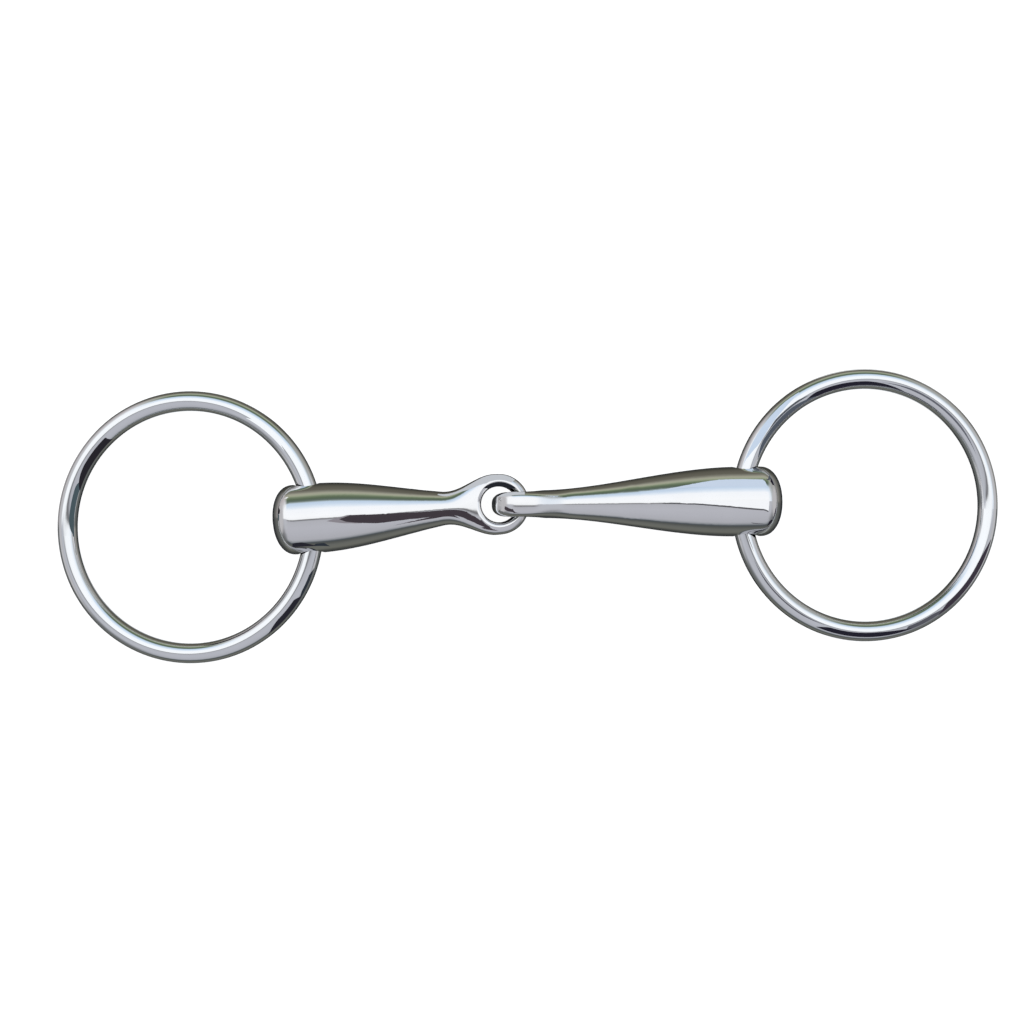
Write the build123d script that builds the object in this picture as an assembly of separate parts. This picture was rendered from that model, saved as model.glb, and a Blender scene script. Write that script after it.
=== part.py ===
from build123d import *
import os
from math import asin, cos, degrees, pi, radians, sin, sqrt

# A loose-ring snaffle bit with a jointed, hollow, tapered mouthpiece, lying at rest on a flat surface.
# Millimetres and degrees. +X runs along the mouthpiece, +Z is up, and the surface it lies on is z = 0.
# The origin is on that surface, under the middle of the whole bit.

# Loose rings: round wire bent to a circle
RING_INSIDE = 70.0
WIRE = 6.0

# Ring holes, through both walls of each arm's thick end, with a loose sleeve in the hollow between them
HOLE = 7.9
HOLE_FROM_END = 10.8
SLEEVE_INSIDE = 8.9
SLEEVE_WALL = 0.5
SLEEVE_PLAY = 0.15

# Arms of the mouthpiece, from the middle of the loop to the ring hole
LEFT_ARM = 56.9
RIGHT_ARM = 66.8
THICK_END = 20.8
SHELL_WALL = 1.6
STEM_WELD = 26.0
SPIGOT = 3.0
CAP_LENGTH = 6.5
CAP_POWER = 2.2
TAPER_START = 4.7
TAPER_END = 3.0

# Eyes: the loops that link the two arms
LOOP_OUTSIDE = 18.2
LOOP_HOLE = 10.8
LOOP_THICK = 8.3
LOOP_HOLE_EDGE = 1.5
LOOP_SQUARENESS = 2.0
LOOP_END_POWER = 2.7
SHOULDER_START = 1.5
SHOULDER_LENGTH = 15.0

# How the arms lie
LOOPS_APART = 7.0
LOOP_DROP = 1.2
LEFT_YAW = 4.7
RIGHT_YAW = 1.1
LEFT_RING_SKEW = -0.3
RIGHT_RING_SKEW = -2.4

# How finely the curved bodies are described
OUTLINE_POINTS = 32
NOSE_STEPS = 7
NOSE_LIMIT = 86.0
EYE_STEPS = 11
BARREL_STEPS = 8
CAP_STEPS = 12
SETTLING_STEPS = 4
SETTLING_STATIONS = 200

LOOP_RADIUS = LOOP_OUTSIDE / 2
RING_RADIUS = (RING_INSIDE + WIRE) / 2
SLEEVE_RADIUS = SLEEVE_INSIDE / 2 + SLEEVE_WALL
UP = Vector(0, 0, 1)


def ease(u):
    """From 0 to 1, with level ends."""
    u = min(max(u, 0.0), 1.0)
    return u * u * (3 - 2 * u)


def spread(start, stop, steps):
    """Evenly spaced values, both ends included."""
    return [start + (stop - start) * i / steps for i in range(steps + 1)]


def signed_power(value, power):
    return abs(value) ** power * (1 if value > 0 else -1)


# ---- the shape of an arm, at a distance s from the middle of its loop ----


def body_radius(length, s):
    """Radius of the tapered body."""
    rise = ease((s - TAPER_START) / (length - TAPER_START - TAPER_END))
    return LOOP_THICK / 2 + (THICK_END - LOOP_THICK) / 2 * rise


def half_width(length, s):
    """Half the width in the loop's plane, which swells from the neck out to the loop."""
    if s < 0:
        return sqrt(LOOP_RADIUS**2 - s**2)
    swell = 1 - ease((s - SHOULDER_START) / SHOULDER_LENGTH)
    return body_radius(length, s) + (LOOP_OUTSIDE - LOOP_THICK) / 2 * swell


def half_thickness(length, s):
    """Half the thickness along the loop's axis. The loop's end is rounded off like its sides."""
    if s < 0:
        return LOOP_THICK / 2 * (1 - (-s / LOOP_RADIUS) ** LOOP_END_POWER) ** (1 / LOOP_END_POWER)
    return body_radius(length, s)


def cross_section(length, s):
    """The outline across the arm: a squarish oval at the loop that turns round along the body."""
    power = 2 + LOOP_SQUARENESS * (1 - ease(s / SHOULDER_LENGTH))
    points = []
    for i in range(OUTLINE_POINTS):
        turn = 2 * pi * (i + 0.5) / OUTLINE_POINTS
        y = half_width(length, s) * signed_power(cos(turn), 2 / power)
        z = half_thickness(length, s) * signed_power(sin(turn), 2 / power)
        points.append(Vector(s, y, z))
    return Face(Wire([Edge.make_spline(points, periodic=True)]))


# ---- the pieces of one arm, loop at the origin, loop lying in XY, thick end towards +X ----


def make_eye(length):
    """Solid neck and loop, with a spigot that sits in the barrel."""
    nose = [-LOOP_RADIUS * sin(radians(a)) for a in spread(NOSE_LIMIT, NOSE_LIMIT / NOSE_STEPS, NOSE_STEPS - 1)]
    stations = nose + spread(0, STEM_WELD + SPIGOT, EYE_STEPS)
    body = loft([cross_section(length, s) for s in stations])
    body = body - Cylinder(LOOP_HOLE / 2, THICK_END)
    hole_edges = body.edges().filter_by(lambda e: abs(e.center(CenterOf.MASS).Z) > LOOP_THICK / 4)
    hole_edges = hole_edges.filter_by(lambda e: e.bounding_box().size.X < LOOP_HOLE + 0.1)
    body = body.fillet(LOOP_HOLE_EDGE, hole_edges)
    beyond_weld = Pos(STEM_WELD + THICK_END, 0, 0) * Box(2 * THICK_END, 2 * THICK_END, 2 * THICK_END)
    spigot_radius = body_radius(length, STEM_WELD) - SHELL_WALL
    spigot = Pos(STEM_WELD, 0, 0) * Rot(0, 90, 0) * Cylinder(
        spigot_radius, SPIGOT, align=(Align.CENTER, Align.CENTER, Align.MIN)
    )
    return body - beyond_weld + spigot


def across(length, hole_along, radius):
    """A long rod along the ring hole's axis."""
    rod = Cylinder(radius, 2 * THICK_END)
    turned = Rot(90, 0, 0) * rod if hole_along == "Y" else rod
    return Pos(length, 0, 0) * turned


def make_shell(length, hole_along):
    """Hollow barrel between the neck and the end cap, with a ring hole in each wall."""
    cap_weld = length + HOLE_FROM_END - CAP_LENGTH
    hollow_start = STEM_WELD + SPIGOT
    outside = Spline(*[(s, body_radius(length, s)) for s in spread(STEM_WELD, cap_weld, BARREL_STEPS)])
    hollow_line = [
        (s, body_radius(length, s) - SHELL_WALL) for s in spread(hollow_start, cap_weld, BARREL_STEPS)
    ]
    hollow = Spline(*hollow_line)
    socket = body_radius(length, STEM_WELD) - SHELL_WALL
    ends = [
        Line(outside @ 1, hollow @ 1),
        Polyline(hollow @ 0, (hollow_start, socket), (STEM_WELD, socket), outside @ 0),
    ]
    profile = make_face([outside, hollow, *ends])
    barrel = revolve(profile, Axis.X, 360)
    return barrel - across(length, hole_along, HOLE / 2)


def cap_curve(start, depth, radius):
    """Quarter of a squarish oval, from the wall to the middle of the end."""
    points = []
    for turn in spread(0, 90, CAP_STEPS):
        x = start + depth * max(sin(radians(turn)), 0) ** (2 / CAP_POWER)
        y = radius * max(cos(radians(turn)), 0) ** (2 / CAP_POWER)
        points.append((x, y))
    return Spline(*points, tangents=[(1, 0), (0, -1)])


def make_cap(length):
    """Rounded end of the barrel, with an even wall."""
    weld = length + HOLE_FROM_END - CAP_LENGTH
    outside = cap_curve(weld, CAP_LENGTH, THICK_END / 2)
    inside = cap_curve(weld, CAP_LENGTH - SHELL_WALL, THICK_END / 2 - SHELL_WALL)
    profile = make_face([outside, inside, Line(outside @ 0, inside @ 0), Line(outside @ 1, inside @ 1)])
    return revolve(profile, Axis.X, 360)


def make_sleeve(length, hole_along):
    """Tube around the ring's wire, loose in the hollow and longer than the way out of either hole."""
    hollow_radius = THICK_END / 2 - SHELL_WALL
    half_span = sqrt(hollow_radius**2 - SLEEVE_RADIUS**2) - SLEEVE_PLAY
    keep = Pos(length, 0, 0) * Box(THICK_END, 2 * half_span, 2 * half_span)
    tube = across(length, hole_along, SLEEVE_RADIUS) - across(length, hole_along, SLEEVE_INSIDE / 2)
    return tube & keep


# ---- where everything lies ----


def arm_heading(yaw, rise):
    flat = cos(radians(rise))
    return Vector(flat * cos(radians(yaw)), flat * sin(radians(yaw)), sin(radians(rise)))


def rise_to_hole(length, loop_height):
    """Slope of an arm whose barrel just touches the surface."""
    hole_height = THICK_END / 2
    for _ in range(SETTLING_STEPS):
        slope = asin((hole_height - loop_height) / length)
        lowest = min(
            loop_height + s * sin(slope) - body_radius(length, s) * cos(slope)
            for s in spread(STEM_WELD, length, SETTLING_STATIONS)
        )
        hole_height -= lowest
    return degrees(slope)


def left_frame(loop):
    """The left arm's loop lies flat, and its ring hole runs along the frame's Y."""
    along = arm_heading(180 + LEFT_YAW, rise_to_hole(LEFT_ARM, loop.Z))
    return Plane(origin=loop, x_dir=along, z_dir=along.cross(UP.cross(along)))


def right_frame(loop):
    """The right arm's loop stands on edge, and its ring hole runs along the frame's Z."""
    along = arm_heading(RIGHT_YAW, rise_to_hole(RIGHT_ARM, loop.Z))
    return Plane(origin=loop, x_dir=along, z_dir=UP.cross(along))


def ring_frame(frame, length, skew):
    """The ring passes through its hole and leans down, outwards, until its far side lies on the surface.
    The play in the hole lets it sit a little skew to the arm."""
    hole = frame.from_local_coords(Vector(length, 0, 0))
    across_arm = UP.cross(frame.x_dir).normalized().rotate(Axis.Z, skew)
    outward = across_arm.cross(UP)
    to_wall = (THICK_END - SHELL_WALL) / 2
    to_centre = sqrt(RING_RADIUS**2 - to_wall**2)
    lean = asin((hole.Z - WIRE / 2) / (to_centre + RING_RADIUS))
    towards = outward * cos(lean) - UP * sin(lean)
    return Plane(origin=hole + towards * to_centre, x_dir=towards, z_dir=towards.cross(across_arm))


def place_arm(side, length, hole_along, frame, ring_skew):
    where = frame.location
    return {
        f"{side}_cannon_shell": where * make_shell(length, hole_along),
        f"{side}_end_cap": where * make_cap(length),
        f"{side}_ring_sleeve": where * make_sleeve(length, hole_along),
        f"{side}_eye": where * make_eye(length),
        f"{side}_ring": ring_frame(frame, length, ring_skew).location * Torus(RING_RADIUS, WIRE / 2),
    }


def build_bit():
    """Every piece where it lies, with the origin under the middle of the whole bit."""
    right_loop = Vector(0, 0, LOOP_RADIUS)
    left_loop = right_loop - Vector(LOOPS_APART, 0, LOOP_DROP)
    pieces = {
        **place_arm("left", LEFT_ARM, "Y", left_frame(left_loop), LEFT_RING_SKEW),
        **place_arm("right", RIGHT_ARM, "Z", right_frame(right_loop), RIGHT_RING_SKEW),
    }
    box = Compound(children=[Part() + piece for piece in pieces.values()]).bounding_box()
    middle = box.center()
    to_origin = Pos(-middle.X, -middle.Y, -box.min.Z)
    return {name: to_origin * piece for name, piece in pieces.items()}


os.makedirs("parts", exist_ok=True)
for node, solid in build_bit().items():
    export_step(solid, f"parts/{node}.step")
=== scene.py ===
from math import cos, degrees, radians, sin

import bpy
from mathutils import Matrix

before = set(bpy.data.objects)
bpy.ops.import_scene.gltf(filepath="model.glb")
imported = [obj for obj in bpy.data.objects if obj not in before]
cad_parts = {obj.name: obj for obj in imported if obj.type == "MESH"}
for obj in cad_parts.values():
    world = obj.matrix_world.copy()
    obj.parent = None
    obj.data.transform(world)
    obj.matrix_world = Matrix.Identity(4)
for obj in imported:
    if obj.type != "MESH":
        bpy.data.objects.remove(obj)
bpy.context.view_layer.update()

# The bit is shown as the CAD made it. This script adds its steel, the room that the steel reflects, a floor
# and the camera. Lengths are in metres, angles in degrees, and colours are display colours from 0 to 255.

# ---- helpers -----------------------------------------------------------------------------------------------


def linear(*levels):
    """Scene colour of a display colour."""
    out = []
    for level in levels:
        v = level / 255
        out.append(v / 12.92 if v <= 0.04045 else ((v + 0.055) / 1.055) ** 2.4)
    return out


class Tree:
    """Builds a node tree with little text. A source is a number, a colour or another node's output."""

    def __init__(self, tree):
        self.tree = tree
        tree.nodes.clear()

    def add(self, kind, **settings):
        node = self.tree.nodes.new(kind)
        for name, value in settings.items():
            setattr(node, name, value)
        return node

    def link(self, source, target):
        if isinstance(source, (int, float, tuple, list)):
            target.default_value = source
        else:
            self.tree.links.new(source, target)

    def fill(self, node, values):
        """Sets a node's first inputs in their order."""
        for socket, value in zip(node.inputs, values):
            self.link(value, socket)
        return node.outputs[0]

    def math(self, operation, a, b=0.0):
        return self.fill(self.add("ShaderNodeMath", operation=operation), (a, b))

    def step(self, value, start, stop, low=0.0, high=1.0):
        """Smooth step of value, from low at start to high at stop."""
        node = self.add("ShaderNodeMapRange", interpolation_type="SMOOTHSTEP")
        return self.fill(node, (value, start, stop, low, high))

    def mix(self, factor, a, b):
        node = self.add("ShaderNodeMix", data_type="RGBA", clamp_factor=True)
        self.link(factor, node.inputs[0])
        for name, value in (("A_Color", a), ("B_Color", b)):
            socket = next(s for s in node.inputs if s.identifier == name)
            self.link(value, socket)
        return next(s for s in node.outputs if s.identifier == "Result_Color")

    def ramp(self, value, stops, low, high):
        """Colour ramp over value, from low to high. Stops are pairs of a value and a colour."""
        node = self.add("ShaderNodeValToRGB")
        self.link(self.fill(self.add("ShaderNodeMapRange"), (value, low, high, 0.0, 1.0)), node.inputs[0])
        ramp = node.color_ramp
        ramp.interpolation = "LINEAR"
        ramp.elements.remove(ramp.elements[-1])
        for i, (at, colour) in enumerate(stops):
            position = (at - low) / (high - low)
            element = ramp.elements[0] if i == 0 else ramp.elements.new(position)
            element.position = position
            element.color = (*linear(*colour), 1)
        return node.outputs[0]

    def noise(self, where, scale, detail):
        node = self.add("ShaderNodeTexNoise")
        self.link(where, node.inputs["Vector"])
        self.link(scale, node.inputs["Scale"])
        self.link(detail, node.inputs["Detail"])
        return node.outputs[0]

    def bump(self, height, depth, normal=None):
        node = self.add("ShaderNodeBump")
        self.link(1.0, node.inputs["Strength"])
        self.link(depth, node.inputs["Distance"])
        self.link(height, node.inputs["Height"])
        if normal:
            self.link(normal, node.inputs["Normal"])
        return node.outputs[0]

    def light(self, kind, colour, strength):
        """An emission or background shader."""
        node = self.add(kind)
        self.link(colour, node.inputs["Color"])
        self.link(strength, node.inputs["Strength"])
        return node.outputs[0]

    def either(self, factor, a, b):
        """Shader a where factor is 0 and shader b where it is 1."""
        return self.fill(self.add("ShaderNodeMixShader"), (factor, a, b))

    def output(self, shader, kind="ShaderNodeOutputMaterial"):
        self.link(shader, self.add(kind).inputs[0])


def new_material(name):
    material = bpy.data.materials.new(name)
    material.use_nodes = True
    return material, Tree(material.node_tree)


def stage_object(name, verts, faces, material):
    mesh = bpy.data.meshes.new(name)
    mesh.from_pydata(verts, [], faces)
    mesh.materials.append(material)
    placed = bpy.data.objects.new(name, mesh)
    bpy.context.scene.collection.objects.link(placed)
    return placed


# ---- the room that the polished steel reflects -------------------------------------------------------------

# Reflected light is made brighter by this, so that a colour looks as written once the steel has dimmed it
STEEL_REFLECTANCE = 0.86
WHITE = (1, 1, 1, 1)

# Across the mouthpiece, by angle from straight up, positive towards +Y
ACROSS = [
    (-170, (40, 42, 44)),
    (-140, (66, 68, 66)),
    (-122, (104, 105, 99)),
    (-106, (100, 102, 98)),
    (-94, (82, 84, 82)),
    (-87, (74, 80, 84)),
    (-80, (146, 149, 155)),
    (-73, (170, 171, 178)),
    (-50, (177, 178, 186)),
    (-30, (180, 181, 189)),
    (-9, (176, 177, 184)),
    (-6, (150, 151, 156)),
    (-4.5, (104, 104, 108)),
    (-3, (118, 118, 120)),
    (-1, (243, 245, 248)),
    (8, (248, 250, 253)),
    (30, (244, 247, 252)),
    (38, (220, 231, 244)),
    (46, (200, 216, 235)),
    (53, (190, 208, 228)),
    (57, (140, 152, 150)),
    (61, (92, 106, 98)),
    (69, (88, 102, 82)),
    (76, (112, 126, 102)),
    (83, (156, 162, 140)),
    (90, (160, 160, 144)),
    (97, (128, 127, 116)),
    (106, (99, 97, 87)),
    (122, (90, 88, 79)),
    (140, (66, 66, 60)),
    (170, (40, 42, 44)),
]
# Along the mouthpiece, by angle from straight up, for three parts of the room
NORTH_EAST = [
    (0, (247, 248, 252)),
    (26, (244, 246, 251)),
    (37, (240, 244, 250)),
    (52, (222, 230, 240)),
    (62, (186, 192, 196)),
    (74, (160, 164, 164)),
    (92, (162, 160, 156)),
    (108, (138, 136, 132)),
    (124, (104, 104, 100)),
    (148, (56, 58, 58)),
]
NORTH_WEST = [
    (0, (247, 248, 252)),
    (58, (246, 248, 251)),
    (66, (226, 228, 232)),
    (78, (196, 194, 197)),
    (94, (182, 176, 178)),
    (110, (146, 142, 142)),
    (126, (104, 104, 102)),
    (148, (56, 58, 58)),
]
SOUTH = [
    (0, (184, 186, 193)),
    (52, (181, 183, 190)),
    (62, (172, 173, 180)),
    (72, (142, 143, 148)),
    (84, (112, 114, 117)),
    (98, (100, 102, 101)),
    (120, (92, 94, 92)),
    (145, (52, 54, 56)),
]
# A lighter strip low down at both ends of the room
END_GLOW = (184, 183, 186)

# Where one part of the room changes into the next, as components of the direction looked in
EAST_FROM_WEST = (-0.1, 0.1)
NORTH_FROM_SOUTH = (-0.03, 0.03)
ALONG_FROM_ACROSS = (0.42, 0.7)
GLOW_FADES_IN = (0.80, 0.94)
# The glow's lower edge, by angle from straight up
GLOW_LOWER_EDGE = (102, 90)


def room_colour(t):
    """Colour of the room in the direction looked in."""
    direction = t.add("ShaderNodeTexCoord").outputs["Generated"]
    parts = t.add("ShaderNodeSeparateXYZ")
    t.link(direction, parts.inputs[0])
    x, y, z = parts.outputs
    across = t.math("MULTIPLY", t.math("ARCTAN2", y, z), degrees(1))
    from_up = t.math("MULTIPLY", t.math("ARCCOSINE", z), degrees(1))
    end_on = t.math("ABSOLUTE", x)
    north_west = t.ramp(from_up, NORTH_WEST, 0, 180)
    north_east = t.ramp(from_up, NORTH_EAST, 0, 180)
    south = t.ramp(from_up, SOUTH, 0, 180)
    north = t.mix(t.step(x, *EAST_FROM_WEST), north_west, north_east)
    along = t.mix(t.step(y, *NORTH_FROM_SOUTH), south, north)
    glow = t.math("MULTIPLY", t.step(end_on, *GLOW_FADES_IN), t.step(from_up, *GLOW_LOWER_EDGE))
    along = t.mix(glow, along, (*linear(*END_GLOW), 1))
    return t.mix(t.step(end_on, *ALONG_FROM_ACROSS), t.ramp(across, ACROSS, -180, 180), along)


def build_world():
    """The room lights the bit, and the camera sees plain white in its place."""
    world = bpy.data.worlds.new("surroundings")
    bpy.context.scene.world = world
    world.use_nodes = True
    t = Tree(world.node_tree)
    room = t.light("ShaderNodeBackground", room_colour(t), 1 / STEEL_REFLECTANCE)
    plain = t.light("ShaderNodeBackground", WHITE, 1.0)
    seen = t.add("ShaderNodeLightPath").outputs["Is Camera Ray"]
    t.output(t.either(seen, room, plain), "ShaderNodeOutputWorld")


# ---- floor -------------------------------------------------------------------------------------------------

FLOOR_HALF = 3.0
FLOOR_DROP = 0.0002
FLOOR_GLOW = 0.90
FLOOR_MATT = (0.42, 0.42, 0.42, 1)


def build_floor():
    """A nearly white floor that takes a faint shadow. The steel reflects the room below it instead."""
    material, t = new_material("pale_floor")
    matt = t.add("ShaderNodeBsdfDiffuse")
    t.link(FLOOR_MATT, matt.inputs["Color"])
    glow = t.light("ShaderNodeEmission", WHITE, FLOOR_GLOW)
    t.output(t.fill(t.add("ShaderNodeAddShader"), (glow, matt.outputs[0])))
    corners = [(x * FLOOR_HALF, y * FLOOR_HALF, 0) for x, y in ((-1, -1), (1, -1), (1, 1), (-1, 1))]
    floor = stage_object("floor", corners, [(0, 1, 2, 3)], material)
    floor.location.z = -FLOOR_DROP
    floor.visible_glossy = False


# ---- glowing cards close to the steel, seen only in its reflections: painted reflections -------------------

# Level cards that paint reflections on the mouthpiece: height, colour and outline
FLAT_PAINTED_REFLECTIONS = [
    # a dark wedge over the left neck and round its loop, a painted dark reflection
    (0.033, (64, 58, 64), [
        (-0.0530, -0.0034), (-0.0490, 0.0002), (-0.0440, 0.0001), (-0.0310, -0.0006), (-0.0220, -0.0020),
        (-0.0150, -0.0018), (-0.0135, -0.0080), (-0.0120, -0.0200), (-0.0040, -0.0340), (-0.0240, -0.0370),
        (-0.0170, -0.0220), (-0.0240, -0.0175), (-0.0360, -0.0155), (-0.0430, -0.0110), (-0.0500, -0.0070),
    ]),
    # the wedge's paler tip, a painted reflection
    (0.0332, (138, 134, 141), [
        (-0.0580, -0.0048), (-0.0540, -0.0020), (-0.0500, 0.0006), (-0.0430, 0.0004), (-0.0430, -0.0116),
        (-0.0510, -0.0086),
    ]),
    # white over the right barrel, a painted highlight
    (0.0331, (245, 247, 251), [
        (0.042, 0.0050), (0.042, 0.0032), (0.048, 0.0026), (0.0545, 0.0013), (0.060, 0.0), (0.067, -0.0022),
        (0.0725, -0.0042), (0.080, -0.0070), (0.080, 0.0050),
    ]),
    # a dark ribbon along the white card's edge, a painted dark reflection
    (0.033, (84, 84, 88), [
        (0.036, 0.0036), (0.048, 0.0026), (0.060, 0.0), (0.0725, -0.0042), (0.080, -0.0070),
        (0.080, -0.0087), (0.0725, -0.0059), (0.060, -0.0016), (0.048, 0.0012), (0.036, 0.0024),
    ]),
    # light blue beyond the right barrel, a painted reflection
    (0.033, (198, 212, 231), [
        (0.033, 0.0275), (0.039, 0.037), (0.044, 0.047), (0.048, 0.062), (0.056, 0.084), (0.070, 0.084),
        (0.074, 0.070), (0.079, 0.039), (0.079, 0.023), (0.074, 0.023), (0.062, 0.025), (0.054, 0.026),
        (0.048, 0.028), (0.041, 0.029),
    ]),
]
# Upright cards by the left loop, which paint reflections on it: name, whether only its +Y side shows, colour,
# place along Y, and outline in X and Z. The card in the hole paints a black reflection on the loop round the
# hole, and the card beyond the loop a pale one.
UPRIGHT_PAINTED_REFLECTIONS = [
    ("painted_dark_reflection_in_hole", True, (36, 38, 44), 0.0082, [
        (-0.0140, 0.002), (-0.0140, 0.0175), (-0.0030, 0.0175), (-0.0030, 0.002),
    ]),
    ("painted_pale_reflection_beyond_loop", False, (192, 196, 202), 0.0150, [
        (-0.0010, 0.007), (-0.0010, 0.020), (-0.0120, 0.021), (-0.0200, 0.018), (-0.0260, 0.009),
        (-0.0260, 0.007),
    ]),
]
# Curved cards beside the rings, which paint dark and light reflections on the wire: first and last bearing,
# colour, then radius and height of the lower and the upper edge. Level cards under the wire's outer and inner
# edge come last; they paint pale reflections along the wire's lower edges.
LEFT_RING_PAINTED_REFLECTIONS = [
    (134, 163, (38, 36, 42), (0.0300, 0.0000), (0.0322, 0.0160)),
    (157, 185, (72, 86, 92), (0.0300, 0.0010), (0.0312, 0.0120)),
    (306, 329, (38, 38, 46), (0.0460, 0.0005), (0.0440, 0.0108)),
    (326, 342, (44, 50, 58), (0.0460, 0.0005), (0.0456, 0.0056)),
    (42, 68, (246, 248, 251), (0.0316, 0.0121), (0.0378, 0.0120)),
    (125, 212, (206, 204, 206), (0.0405, -0.0035), (0.0470, -0.0035)),
    (40, 135, (196, 198, 200), (0.0405, -0.0035), (0.0436, -0.0035)),
    (205, 300, (150, 152, 154), (0.0405, -0.0035), (0.0436, -0.0035)),
    (30, 130, (146, 150, 152), (0.0355, -0.0035), (0.0325, -0.0035)),
    (180, 320, (150, 152, 154), (0.0355, -0.0035), (0.0325, -0.0035)),
]
RIGHT_RING_PAINTED_REFLECTIONS = [
    (68, 120, (34, 33, 44), (0.0300, 0.0035), (0.0312, 0.0135)),
    (250, 294, (34, 33, 44), (0.0460, 0.0052), (0.0418, 0.0170)),
    (290, 312, (84, 84, 92), (0.0460, 0.0050), (0.0435, 0.0140)),
    (306, 346, (58, 52, 62), (0.0460, 0.0040), (0.0430, 0.0150)),
    (208, 256, (88, 88, 94), (0.0386, 0.0120), (0.0414, 0.0121)),
    (22, 76, (96, 98, 106), (0.0320, 0.0121), (0.0364, 0.0120)),
    (112, 142, (84, 88, 94), (0.0320, 0.0121), (0.0364, 0.0120)),
    (112, 157, (80, 86, 96), (0.0300, 0.0030), (0.0312, 0.0115)),
    (310, 400, (214, 214, 216), (0.0405, -0.0035), (0.0470, -0.0035)),
    (32, 125, (200, 200, 200), (0.0405, -0.0035), (0.0470, -0.0035)),
    (245, 300, (176, 176, 182), (0.0405, -0.0035), (0.0436, -0.0035)),
    (30, 150, (146, 150, 152), (0.0355, -0.0035), (0.0325, -0.0035)),
    (205, 325, (156, 160, 162), (0.0355, -0.0035), (0.0325, -0.0035)),
]
LEFT_RING_CENTRE = (-0.1017328, -0.0039582, 0.0068663)
RIGHT_RING_CENTRE = (0.1017273, 0.0039571, 0.0068017)
# How much a ring sinks on its way outwards
RING_TILT = 0.1
# A curved card has this many steps, grows to its full width over the first few, and ends in a blunt tip
CURVE_STEPS = 16
CURVE_ENDS = 4
CURVE_TIP = 0.2


# A card glows in its colour and shows only in the steel, as a painted reflection
def painted_reflection_material(name, colour, one_sided):
    material, t = new_material(name)
    shown = t.light("ShaderNodeEmission", (*linear(*colour), 1), 1 / STEEL_REFLECTANCE)
    if one_sided:
        back = t.add("ShaderNodeNewGeometry").outputs["Backfacing"]
        shown = t.either(back, shown, t.add("ShaderNodeBsdfTransparent").outputs[0])
    t.output(shown)
    return material


def build_card(name, verts, faces, colour, one_sided=False):
    card = stage_object(name, verts, faces, painted_reflection_material(name, colour, one_sided))
    # Hidden from the camera, diffuse light and shadows, so the card is only a painted reflection
    for ray in ("camera", "diffuse", "transmission", "volume_scatter", "shadow"):
        setattr(card, f"visible_{ray}", False)


def curved_card(name, centre, tilt, start, stop, colour, lower, upper):
    """A strip along an arc round a ring's centre, which follows the ring's tilt. It paints a reflection on
    the ring.
    """
    verts = []
    for k in range(CURVE_STEPS + 1):
        bearing = radians(start + (stop - start) * k / CURVE_STEPS)
        width = min(1, (k + CURVE_TIP) / CURVE_ENDS, (CURVE_STEPS - k + CURVE_TIP) / CURVE_ENDS)
        for amount in (0, width):
            radius, height = (low + (high - low) * amount for low, high in zip(lower, upper))
            x, y = radius * cos(bearing), radius * sin(bearing)
            verts.append((centre[0] + x, centre[1] + y, centre[2] + height + tilt * x))
    faces = [(2 * k, 2 * k + 1, 2 * k + 3, 2 * k + 2) for k in range(CURVE_STEPS)]
    build_card(name, verts, faces, colour)


def build_painted_reflections():
    for i, (height, colour, outline) in enumerate(FLAT_PAINTED_REFLECTIONS):
        verts = [(x, y, height) for x, y in outline]
        build_card(f"flat_painted_reflection_{i}", verts, [tuple(range(len(verts)))], colour)
    for name, one_sided, colour, y, outline in UPRIGHT_PAINTED_REFLECTIONS:
        verts = [(x, y, z) for x, z in outline]
        build_card(name, verts, [tuple(range(len(verts)))], colour, one_sided)
    for i, card in enumerate(LEFT_RING_PAINTED_REFLECTIONS):
        curved_card(f"left_ring_card_{i}", LEFT_RING_CENTRE, RING_TILT, *card)
    for i, card in enumerate(RIGHT_RING_PAINTED_REFLECTIONS):
        curved_card(f"right_ring_card_{i}", RIGHT_RING_CENTRE, -RING_TILT, *card)


# ---- camera ------------------------------------------------------------------------------------------------

# Focal length over picture width, for a picture as wide as the sensor
FOCAL_RATIO = 1700 / 1024
SENSOR_WIDTH = 36.0
CAMERA_PLACE = (-0.003236, -0.002702, 0.518713)
# The camera looks straight down but for these small turns, in radians
CAMERA_TURN = (0.0077, 0.0027, 0.0063)


def build_camera():
    data = bpy.data.cameras.new("camera")
    data.sensor_width = SENSOR_WIDTH
    data.lens = FOCAL_RATIO * SENSOR_WIDTH
    data.clip_start = 0.01
    camera = bpy.data.objects.new("camera", data)
    bpy.context.scene.collection.objects.link(camera)
    camera.location = CAMERA_PLACE
    camera.rotation_euler = CAMERA_TURN
    bpy.context.scene.camera = camera


# ---- steel -------------------------------------------------------------------------------------------------

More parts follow.
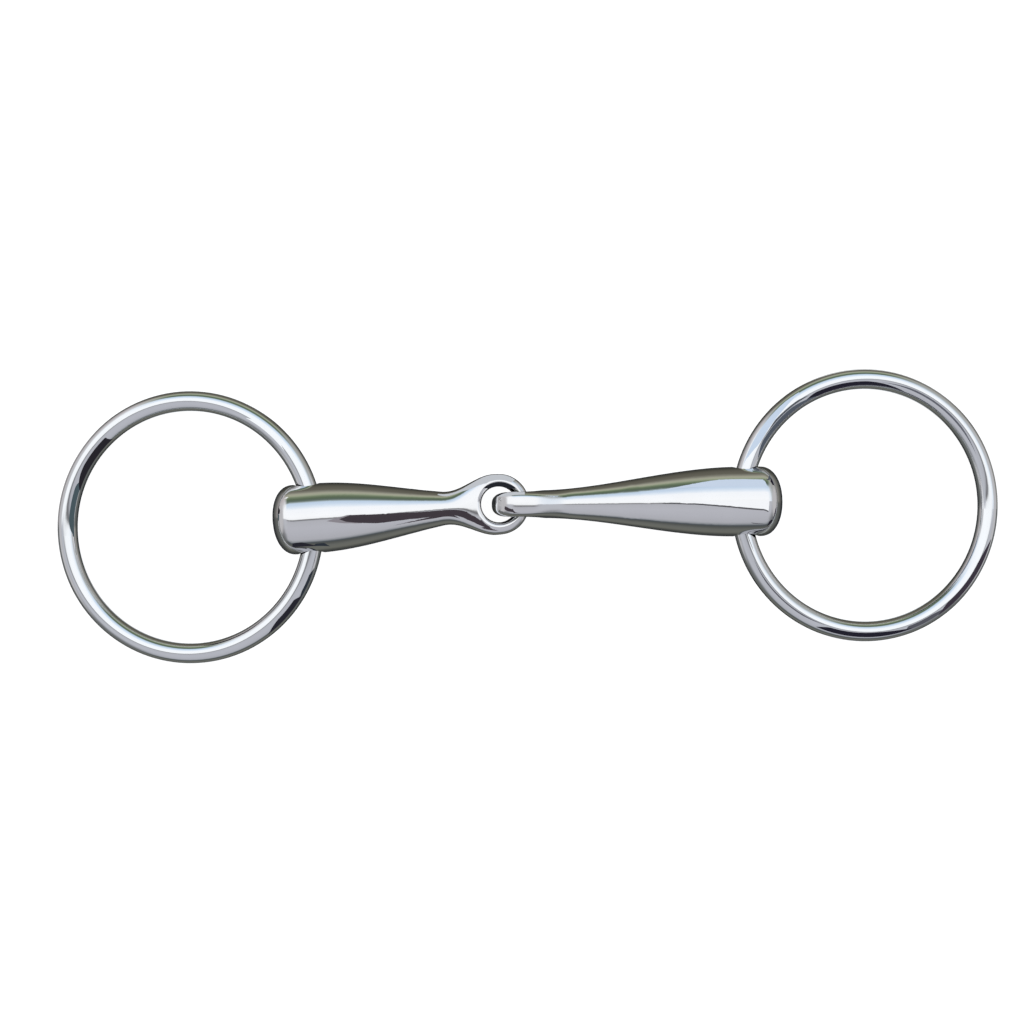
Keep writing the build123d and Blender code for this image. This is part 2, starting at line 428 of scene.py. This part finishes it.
WAVE_SCALE = 140.0
CLOUD_SCALE = 120.0
# Duller patches are darker too, by this factor
DULL_TINT = 0.98


def polished_steel(name, tint, roughness, streak_scale, streak_depth, wave_depth):
    """Polish with fine streaks, faint waves and patches that are a little duller."""
    material, t = new_material(name)
    place = t.add("ShaderNodeTexCoord").outputs["Object"]
    stretch = t.add("ShaderNodeMapping")
    stretch.inputs["Scale"].default_value = streak_scale
    t.link(place, stretch.inputs[0])
    streaks = t.noise(stretch.outputs[0], 1.0, 3.0)
    waves = t.noise(place, WAVE_SCALE, 1.0)
    clouds = t.noise(place, CLOUD_SCALE, 4.0)
    dull = t.step(clouds, 0.35, 0.7, 0.0, roughness * 0.6)
    rough = t.math("ADD", dull, t.step(streaks, 0.4, 0.75, roughness * 0.7, roughness * 1.4))
    colour = t.mix(t.step(clouds, 0.3, 0.8), (*[c * DULL_TINT for c in tint], 1), (*tint, 1))
    shader = t.add("ShaderNodeBsdfPrincipled")
    shader.inputs["Metallic"].default_value = 1.0
    t.link(colour, shader.inputs["Base Color"])
    t.link(rough, shader.inputs["Roughness"])
    t.link(t.bump(waves, wave_depth, t.bump(streaks, streak_depth)), shader.inputs["Normal"])
    t.output(shader.outputs[0])
    return material


def dress(node, material):
    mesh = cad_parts[node].data
    mesh.materials.clear()
    mesh.materials.append(material)


def build_steel():
    mouthpiece = polished_steel(
        "mouthpiece_steel", (0.86, 0.86, 0.86), 0.032, (60, 2500, 2500), 0.0000003, 0.000006
    )
    wire = polished_steel("ring_steel", (0.86, 0.875, 0.885), 0.035, (900, 900, 900), 0.0000003, 0.000003)
    sleeve = polished_steel("sleeve_steel", (0.6, 0.6, 0.59), 0.25, (900, 900, 900), 0.000002, 0.000002)
    for side in ("left", "right"):
        for node in ("cannon_shell", "end_cap", "eye"):
            dress(f"{side}_{node}", mouthpiece)
        dress(f"{side}_ring", wire)
        dress(f"{side}_ring_sleeve", sleeve)


build_world()
build_floor()
build_painted_reflections()
build_camera()
build_steel()
bpy.context.scene.view_settings.view_transform = "Standard"
